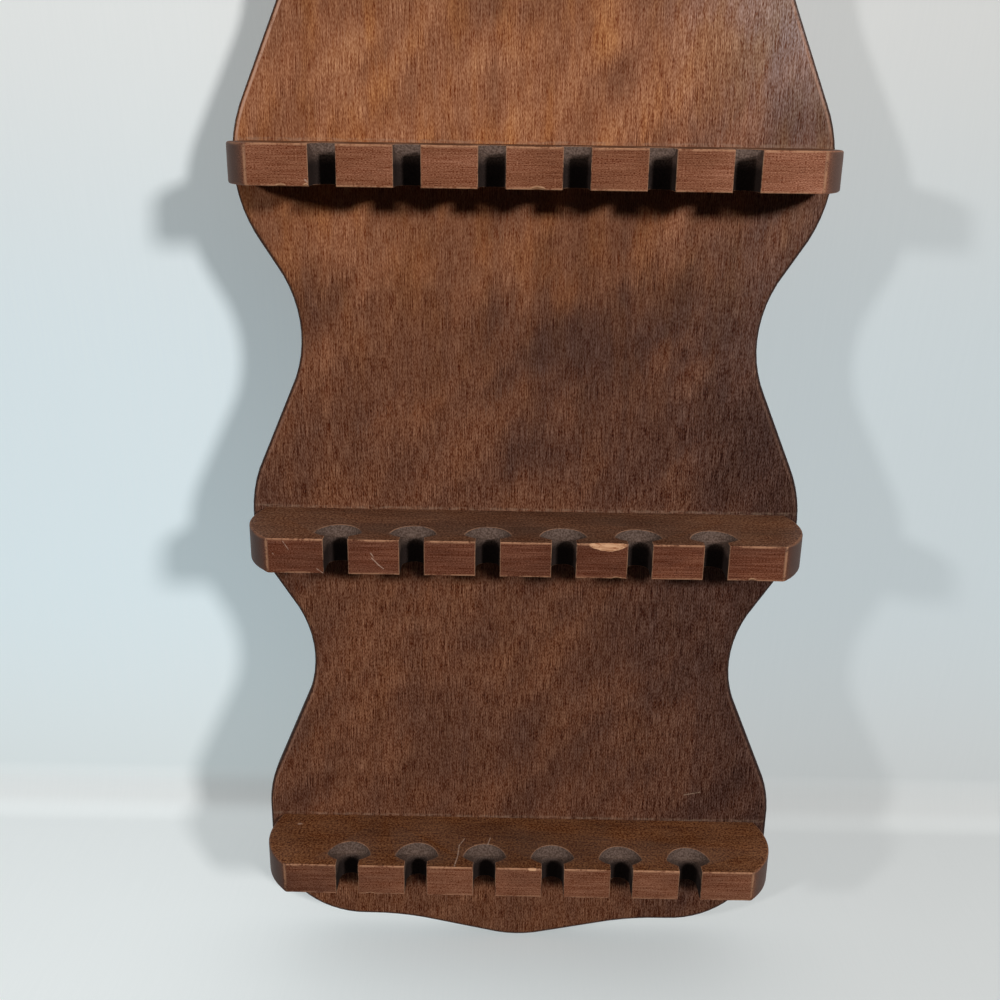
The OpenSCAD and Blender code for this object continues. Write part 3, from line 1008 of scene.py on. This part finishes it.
def dull_zinc():
    """The screws' material."""
    material, tree, shader, place, _ = start_material("dull_zinc", Metallic=1)
    spots = fade(tree, cloud(tree, place, ZINC_SPOT_MM, detail=4), 0.45, 0.7)
    turned = cloud(tree, place, TURNING_MM, detail=1)
    rough = plus(tree, 0.32, times(tree, spots, 0.35))
    finish_surface(tree, shader, mix(tree, spots, ZINC, ZINC_DARK), rough, turned, *ZINC_BUMP)
    return material


zinc = dull_zinc()
for name in SHELF_NODES:
    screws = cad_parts[name + "_screws"]
    screws.data.materials.clear()
    screws.data.materials.append(zinc)
print("screws finished:", len(SHELF_NODES), "pairs")

# %% [markdown]
# ## The stage
# The rack stands on a pale sweep: a floor that turns up into a wall in one curve, so that no line shows
# behind it. The rack leans back on that wall, so seen from the rack the wall leans over it, and the
# shadow on it grows wider towards the floor. The sweep's far side lets the camera through, so that the
# back of the rack can be looked at. To the camera the sweep also glows a little, in place of the light
# that a white room throws back, and that glow doesn't fall on the rack.

# %% Stage: pale sweep
SWEEP_LEFT = srgb(224, 233, 236)
SWEEP_RIGHT = srgb(206, 214, 216)
GLOW_LEFT = srgb(200, 225, 233)
GLOW_RIGHT = srgb(180, 193, 198)
GLOW_FOOT = 0.41
GLOW_HIGH = 0.2
GLOW_LOST_ON_FLOOR = 0.165
GLOW_LOST_ON_CURVE = 0.12
GREY_TINT = (1.08, 0.93, 0.85, 1)
GREY_AT_TOP = 0.62
GREY_AT_FOOT = 0.45
# Heights between which the sweep's greys and glow change
GREY_TOP_MM = (-200, -50)
GREY_FOOT_MM = (-420, -280)
GLOW_MM = (-400, -110)
FLOOR_MM = (-419, -400)
CURVE_START_MM = (-420, -414)
CURVE_END_MM = (-411, -398)
WALL_GAP = 14 * MM
WALL_LEAN = math.radians(9.6)
SWEEP_RADIUS = 18 * MM
FLOOR_FRONT_Y = -1.6
SWEEP_HALF = 1.8
WALL_TOP_Z = 1
SWEEP_STEPS = 16
floor_z = cad_box[0].z


def wall_y(z):
    """How far behind the board's back the leaning wall is at a height."""
    return WALL_GAP - z * math.tan(WALL_LEAN)


whole_turn = math.pi / 2 + WALL_LEAN
wall_foot = floor_z + SWEEP_RADIUS * (1 - math.cos(whole_turn))
curve_y = wall_y(wall_foot) - SWEEP_RADIUS * math.sin(whole_turn)
profile = [(FLOOR_FRONT_Y, floor_z)]
for i in range(SWEEP_STEPS + 1):
    turn = whole_turn * i / SWEEP_STEPS
    rise = SWEEP_RADIUS * (1 - math.cos(turn))
    profile.append((curve_y + SWEEP_RADIUS * math.sin(turn), floor_z + rise))
profile.append((wall_y(WALL_TOP_Z), WALL_TOP_Z))
sweep_mesh = bmesh.new()
rows = [[sweep_mesh.verts.new((x, y, z)) for y, z in profile] for x in (-SWEEP_HALF, SWEEP_HALF)]
for k in range(len(profile) - 1):
    face = sweep_mesh.faces.new((rows[0][k], rows[1][k], rows[1][k + 1], rows[0][k + 1]))
    face.smooth = True
sweep_data = bpy.data.meshes.new("sweep")
sweep_mesh.to_mesh(sweep_data)
sweep_mesh.free()
sweep = bpy.data.objects.new("sweep", sweep_data)
scene.collection.objects.link(sweep)
sweep.visible_shadow = False
sweep.visible_diffuse = False


def seen_directly(tree):
    """1 for what the camera sees, also in metal or glass, and 0 for light that falls on things."""
    ray = add(tree, "LightPath").outputs
    mirrored = calc(tree, "MAXIMUM", ray["Is Glossy Ray"], ray["Is Transmission Ray"])
    return calc(tree, "MAXIMUM", ray["Is Camera Ray"], mirrored)


cloth, tree, shader, place, _ = start_material("pale_cloth", Roughness=0.9, Specular_IOR_Level=0.1)
THREAD_MM = (0.7, 30, 30)
weave = cloud(tree, place, THREAD_MM, detail=1)
x, _, z = add(tree, "SeparateXYZ", {0: place}).outputs
to_right = fade(tree, x, -150, 200)
colour = mix(tree, to_right, SWEEP_LEFT, SWEEP_RIGHT)
grey_high = fade(tree, z, *GREY_TOP_MM, 0, GREY_AT_TOP)
grey_low = fade(tree, z, *GREY_FOOT_MM, GREY_AT_FOOT, 0)
greyer = calc(tree, "MAXIMUM", grey_high, grey_low)
colour = mix(tree, greyer, colour, GREY_TINT, "MULTIPLY")
colour = mix(tree, fade(tree, weave, 0.3, 0.7, 0, 0.03), colour, SWEEP_RIGHT, "MULTIPLY")
tree.links.new(colour, shader.inputs["Base Color"])
glow_colour = mix(tree, greyer, mix(tree, to_right, GLOW_LEFT, GLOW_RIGHT), GREY_TINT, "MULTIPLY")
tree.links.new(glow_colour, shader.inputs["Emission Color"])
curve = times(tree, fade(tree, z, *CURVE_START_MM), fade(tree, z, *CURVE_END_MM, 1, 0))
lost = plus(tree, fade(tree, z, *FLOOR_MM, GLOW_LOST_ON_FLOOR, 0),
            times(tree, curve, GLOW_LOST_ON_CURVE))
glow = calc(tree, "SUBTRACT", fade(tree, z, *GLOW_MM, GLOW_FOOT, GLOW_HIGH), lost)
tree.links.new(times(tree, seen_directly(tree), glow), shader.inputs["Emission Strength"])
behind = add(tree, "NewGeometry").outputs["Backfacing"]
see_through = add(tree, "BsdfTransparent").outputs[0]
both = add(tree, "MixShader", {0: behind, 1: shader.outputs[0], 2: see_through}).outputs[0]
tree.links.new(both, tree.nodes["Material Output"].inputs["Surface"])
sweep_data.materials.append(cloth)
print("sweep: floor at", round(floor_z / MM, 1), "mm")

# %% [markdown]
# ## Light
# Two lamps stand in front of the rack, one to either side and a little above it, so each shelf throws a
# toothed shadow and the board throws two soft ones on the sweep. The surroundings are dim in front and
# below, and brighter above and behind, which fills the sweep's shadows and lights the back of the rack.

# %% Lamps and surroundings
AIM_MM = Vector((0, -9.5, -200))
# Each lamp is its name, its place in millimetres, its width in metres and its power in watts
LAMPS = [
    ("right_lamp", Vector((487, -907, 167)), 0.115, 7.6),
    ("left_lamp", Vector((-561, -702, 83)), 0.074, 2.45),
]
BRIGHT_FROM = (0, 0.35, 0.94)
DIM_LEVEL = 0.015
BRIGHT_LEVEL = 0.5
PALE_ROOM = srgb(198, 204, 206)

for name, place_mm, size, power in LAMPS:
    data = bpy.data.lights.new(name, "AREA")
    data.shape = "DISK"
    data.size = size
    data.energy = power
    lamp = bpy.data.objects.new(name, data)
    lamp.location = place_mm * MM
    lamp.rotation_euler = (AIM_MM - place_mm).to_track_quat("-Z", "Y").to_euler()
    scene.collection.objects.link(lamp)

world = bpy.data.worlds.new("surroundings")
scene.world = world
world.use_nodes = True
tree = world.node_tree
direction = add(tree, "TexCoord").outputs["Generated"]
facing = vnumber(tree, "DOT_PRODUCT", direction, BRIGHT_FROM)
level = fade(tree, facing, -0.1, 0.8, DIM_LEVEL, BRIGHT_LEVEL)
light = add(tree, "Background", {"Color": (1, 1, 1, 1), "Strength": level}).outputs[0]
pale = add(tree, "Background", {"Color": PALE_ROOM, "Strength": 1}).outputs[0]
both = add(tree, "MixShader", {0: seen_directly(tree), 1: light, 2: pale}).outputs[0]
tree.links.new(both, tree.nodes["World Output"].inputs["Surface"])
print("lamps:", [settings[0] for settings in LAMPS])
